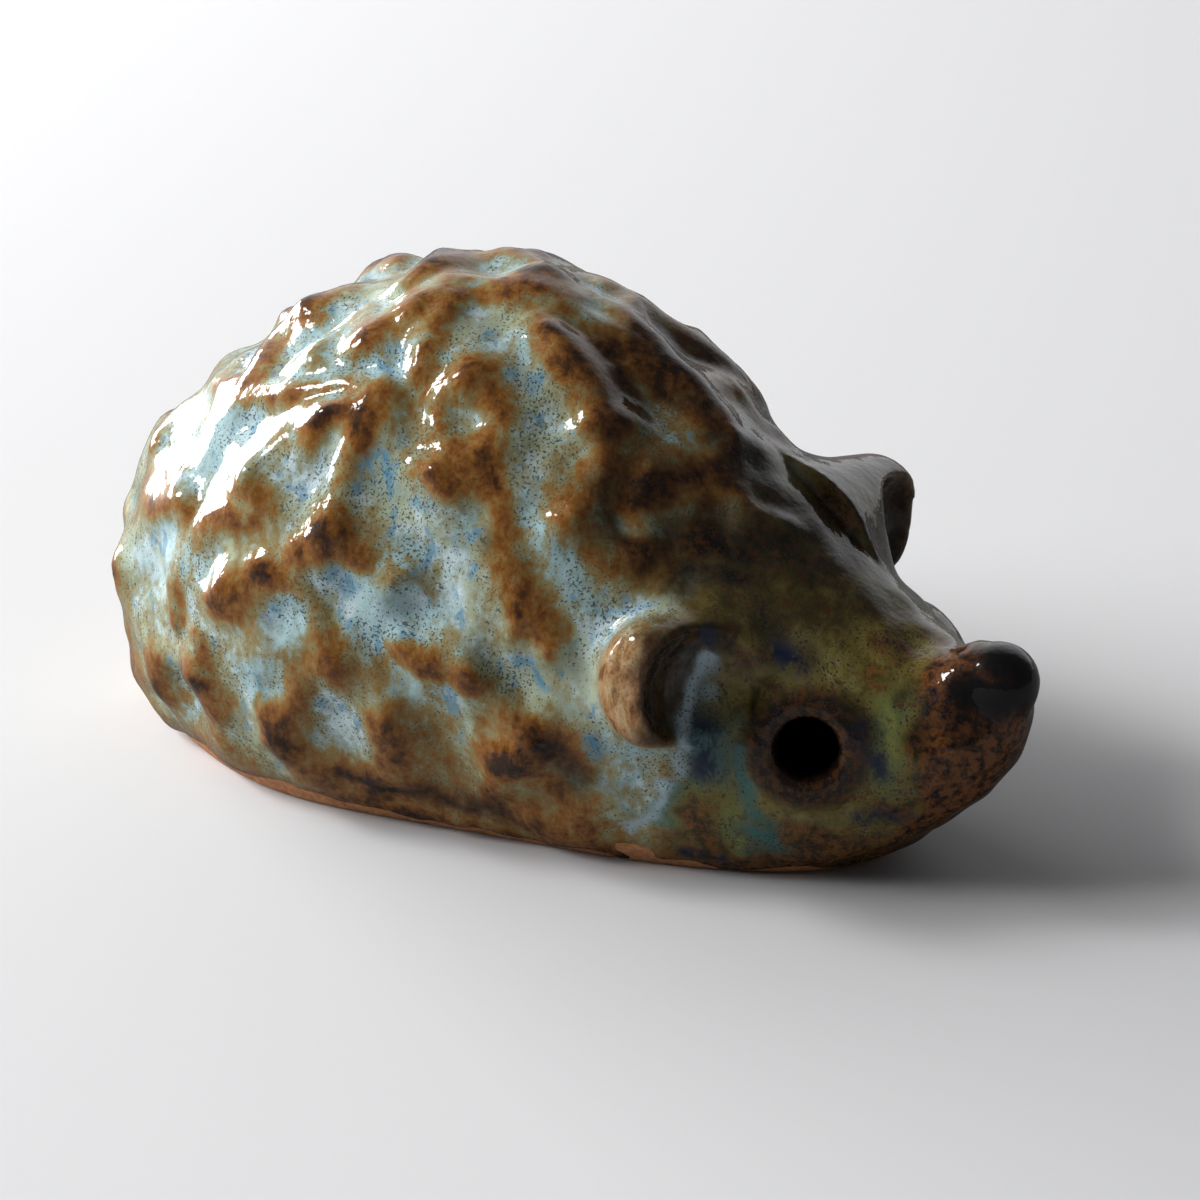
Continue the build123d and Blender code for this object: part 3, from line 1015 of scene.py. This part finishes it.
def floor_material():
    """Plain pale matte floor, far less pale where the glaze mirrors it than where it is seen."""
    material, tree, shader, _ = new_material("floor")
    in_gloss = add_node(tree, "ShaderNodeLightPath").outputs["Is Glossy Ray"]
    colour = mixed(tree, in_gloss, FLOOR_COLOUR, FLOOR_IN_GLOSS_COLOUR)
    tree.links.new(colour, shader.inputs["Base Color"])
    shader.inputs["Roughness"].default_value = 0.9
    return material


def make_coat(grid, body):
    """The whole glazed surface as one field: the egg form less its relief, with eyes, ears
    and nose worked in, ending at the uneven edge of the glaze above the foot."""
    dice = np.random.default_rng(7)
    relief = np.zeros(grid.shape, np.float32)
    for name in sorted(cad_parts):
        if name.startswith("spine_"):
            raise_spine(relief, body, grid, name, dice)
    for width, pixels in RIDGES:
        line = stroke(body, grid, pixels)
        raise_ridge(relief, grid, line, RIDGE_HEIGHT, width)
        raise_ridge(relief, grid, mirrored(line), RIDGE_HEIGHT, width)
    for width, pixels in BROW_STEPS:
        raise_ridge(relief, grid, stroke(body, grid, pixels), BROW_STEP_HEIGHT, width)
    x, y, z = grid.points()
    coated = 1 - ease_past(x / body_length + 0.5, COAT_END_SHARE, COAT_FADE_SHARES)
    relief += (COAT_WAVE_HEIGHT * coated * waves(x, y, z, length=5.5, seed=21)).astype(np.float32)
    relief += (FINE_WAVE_HEIGHT * waves(x, y, z, length=2.6, seed=22)).astype(np.float32)
    coat = body - relief - GLAZE_THICKNESS
    for side in (-1, 1):
        add_ear(coat, grid, side)
        add_eye(coat, body, grid, side)
    nose_low, nose_high = (np.array(corner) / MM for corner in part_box("nose_bead"))
    radius = (nose_high[1] - nose_low[1]) / 2
    centre = (nose_high[0] - radius, 0.0, nose_high[2] - radius)
    bead = np.sqrt(sum((a - c) ** 2 for a, c in zip((x, y, z), centre))) - radius
    blend = NOSE_BLEND + NOSE_BLEND_BEHIND * ease(centre[0] - x, *NOSE_BLEND_SPAN)
    coat = smooth_union(coat, bead, blend)
    edge = GLAZE_EDGE_HEIGHT - GLAZE_EDGE_FALL * ease(x, *GLAZE_EDGE_FALL_SPAN)
    for height, along, across in GLAZE_EDGE_WAVES:
        edge = edge + height * np.sin(along * x + across * y)
    return -smooth_union(-coat, z - edge, GLAZE_EDGE_ROUNDING), relief


def paint_coat(piece, grid, body, coat, relief, points):
    """Stores what the glaze does at each point: how thick it lies, the mean of the tones that
    are painted there and of what the relief alone would give, where colours run, and where shade is painted."""
    pushed = uneven(points)

    def painted(strokes, edge=PAINT_EDGE, both=True):
        """Mask of these strokes, with uneven edges."""
        return paint(pushed, strokes, coat, grid, edge, both)

    x, y, z = points.T
    along = x / body_length + 0.5
    raised = grid.sample(relief, points)
    near = np.clip(coat, -BULGE_DEPTH, BULGE_DEPTH).astype(np.float32)
    bulge = grid.sample(blurred(near, BULGE_BLUR_STEPS), points) - grid.sample(near, points)
    thickness = PLAIN_THICKNESS - RAISED_LOSS * ease(raised, *RAISED_SPAN)
    thickness = thickness - BULGE_LOSS * np.clip(bulge, *BULGE_SPAN)
    thickness += THICKNESS_WAVE * waves(x, y, z, length=7.0, seed=31)
    thickness -= FOOT_LOSS * (1 - ease(z, *FOOT_SPAN))
    total, weight = PLAIN_WEIGHT * thickness, PLAIN_WEIGHT
    for tone, edge, strokes in TONES:
        amount = painted(strokes, edge)
        total, weight = total + tone * amount, weight + amount
    thickness = total / weight
    border = along + BORDER_WAVE_SHARE * waves(x, y, z, length=6.0, seed=42)
    face = ease_past(border, COAT_END_SHARE, FACE_SPAN_SHARES)
    snout = ease(along + BORDER_WAVE_SHARE * waves(x, y, z, length=3.0, seed=41), *SNOUT_SPAN_SHARES)
    jaw = (1 - ease(z + JAW_WAVE * waves(x, y, z, length=4.0, seed=43), *JAW_SPAN)) * face
    moss, pale = painted(MOSS_ARCH), painted(PALE_POOLS)
    rust = np.maximum.reduce([snout, JAW_RUST * jaw, HEAD_RUST * painted(HEAD_RUSTS)])
    rust = rust * (1 - MOSS_STRENGTH * moss)
    # Painted shade on the far ear's front
    dark = FAR_EAR_SHADE_STRENGTH * painted(FAR_EAR_SHADE, both=False)
    for strength, edge, strokes in DARK_AND_SHADE_MARKS:
        dark = np.maximum(dark, strength * painted(strokes, edge))
    nose_points = (1 - NOSE_PUSH_SHARE) * points + NOSE_PUSH_SHARE * pushed
    black_and_hole_shade = paint(nose_points, NOSE_PATCHES, coat, grid, NOSE_EDGE)
    gloss, ears = np.ones(len(points)), np.zeros(len(points))
    for side in (-1, 1):
        scoop_centre = ear_point(side, EAR_SCOOP_SHARES[side], EAR_SCOOP_FORWARD)
        scoop = np.linalg.norm(points - scoop_centre, axis=1)
        cup = 1 - ease_past(scoop, EAR_SCOOP_RADIUS, EAR_CUP_SPAN)
        root = ear_point(side, EAR_SCOOP_SHARES[side])
        # Painted shade in the ear's cup, in front of its back
        inside = cup * (1 - ease_past(x, root[0], EAR_BACK_SPAN))
        dark = np.maximum(dark, EAR_CUP_SHADE * inside)
        from_tip = np.linalg.norm(points - ear_point(side, EAR_TIP_SHARES[side]), axis=1)
        face = face * (1 - EAR_BARE_LOSS * (1 - ease(from_tip, *EAR_BARE_SPAN)))
        # Tan round the ear tips, partly painted light
        ears = np.maximum(ears, 1 - ease(from_tip, *EAR_TAN_SPAN))
        centre, normal = eye_seat(body, grid, side)
        out = (points - centre) @ normal
        radius = np.sqrt(np.maximum(np.sum((points - centre) ** 2, axis=1) - out ** 2, 0))
        near_eye = (np.abs(out) < 2.0 * EYE_HOLE_DEPTH) & (side * y > 0)
        ring = np.where(near_eye, 1 - ease_past(radius, EYE_HOLE_RADIUS, EYE_RING_SPAN), 0)
        rust = np.maximum(rust, EYE_RING_RUST * ring)
        dark = np.maximum(dark, EYE_RING_DARK * ring)
        # Painted shade inside each eye hole: black, and without gloss
        in_hole = near_eye & (out < EYE_HOLE_SHADE_TOP)
        hole = np.where(in_hole, 1 - ease_past(radius, EYE_HOLE_RADIUS, EYE_HOLE_SHADE_SPAN), 0)
        black_and_hole_shade = np.maximum(black_and_hole_shade, hole)
        gloss = np.minimum(gloss, 1 - hole)
    masks = {
        "thickness": thickness,
        "blue": painted(BLUE_STREAKS),
        "olive": OLIVE_STRENGTH * face * (1 - pale),
        "rust": rust,
        "moss": MOSS_STRENGTH * moss,
        "ear": EAR_TAN_STRENGTH * ears * (1 - pale),
        "teal": painted(TEAL_POOLS),
        "navy": paint(points, NAVY_POOLS, coat, grid),
        "stream": painted(EAR_STREAM, STREAM_EDGE),
        "dark": dark,
        "black_and_hole_shade": black_and_hole_shade,
        "gloss": gloss,
    }
    for name, values in masks.items():
        set_mask(piece, name, values)


def add_light(name, place, sizes, power):
    """Soft flat lamp, so wide and so high, that faces the object."""
    lamp = bpy.data.lights.new(name, "AREA")
    lamp.shape = "RECTANGLE"
    lamp.size, lamp.size_y = sizes
    lamp.energy = power
    light = bpy.data.objects.new(name, lamp)
    aim = Vector(place) - Vector(LAMP_TARGET)
    light.matrix_world = Matrix.Translation(place) @ aim.to_track_quat("Z", "Y").to_matrix().to_4x4()
    bpy.context.scene.collection.objects.link(light)
    return light


def make_sky():
    """Dim surroundings, brightest beyond the object, and pale wherever the camera looks straight
    at them."""
    world = bpy.data.worlds.new("surroundings")
    world.use_nodes = True
    tree = world.node_tree
    way = add_node(tree, "ShaderNodeTexCoord").outputs["Generated"]
    toward = add_node(tree, "ShaderNodeVectorMath", {0: way, 1: SKY_BRIGHT_WAY}, operation="DOT_PRODUCT")
    strength = span(tree, toward.outputs["Value"], *SKY_SPAN, SKY_LEAST, SKY_MOST)
    seen = add_node(tree, "ShaderNodeLightPath").outputs["Is Camera Ray"]
    strength = math(tree, "MAXIMUM", strength, math(tree, "MULTIPLY", seen, SKY_SEEN))
    sky = tree.nodes["Background"]
    sky.inputs["Color"].default_value = SKY_COLOUR
    tree.links.new(strength, sky.inputs["Strength"])
    bpy.context.scene.world = world


def make_stage():
    """Pale floor, surroundings, camera and three lamps, of which the gloss doesn't mirror the
    fill."""
    reach = FLOOR_REACH / MM
    corners = np.array([(-reach, -reach, 0), (reach, -reach, 0), (reach, reach, 0), (-reach, reach, 0)])
    floor = mesh_object("floor", corners, np.array([[0, 1, 2, 3]]))
    floor.data.materials.append(floor_material())
    make_sky()
    add_light("window", WINDOW_PLACE, WINDOW_SIZES, WINDOW_POWER)
    fill = add_light("fill", FILL_PLACE, FILL_SIZES, FILL_POWER)
    fill.visible_glossy = False
    add_light("glint", GLINT_PLACE, GLINT_SIZES, GLINT_POWER)
    camera_data = bpy.data.cameras.new("camera")
    camera_data.sensor_width = SENSOR_WIDTH
    camera_data.lens = VIEW_FOCAL_PIXELS / IMAGE_PIXELS * SENSOR_WIDTH
    camera_data.clip_start = CLIP_START
    camera = bpy.data.objects.new("camera", camera_data)
    right, up, back = view_axes()
    turn = Matrix(np.stack([right, up, back], axis=1).tolist()).to_4x4()
    camera.matrix_world = Matrix.Translation(Vector(view_place() * MM)) @ turn
    bpy.context.scene.collection.objects.link(camera)
    bpy.context.scene.camera = camera
    bpy.context.scene.view_settings.view_transform = "Standard"


box_low, box_high = (np.array(corner) / MM for corner in cad_box)
grid = Grid(box_low - GRID_MARGIN, box_high + GRID_MARGIN, GRID_STEP)
body = body_field(grid)
coat, relief = make_coat(grid, body)
points, faces = net_surface(coat, grid)
piece = mesh_object("glaze_coat", points, faces)
paint_coat(piece, grid, body, coat, relief, points)
piece.data.materials.append(glaze_material())
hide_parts(*[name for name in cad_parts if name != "base_slab"])
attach(piece, "root")
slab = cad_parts["base_slab"]
slab.data.materials.clear()
slab.data.materials.append(clay_material())
make_stage()
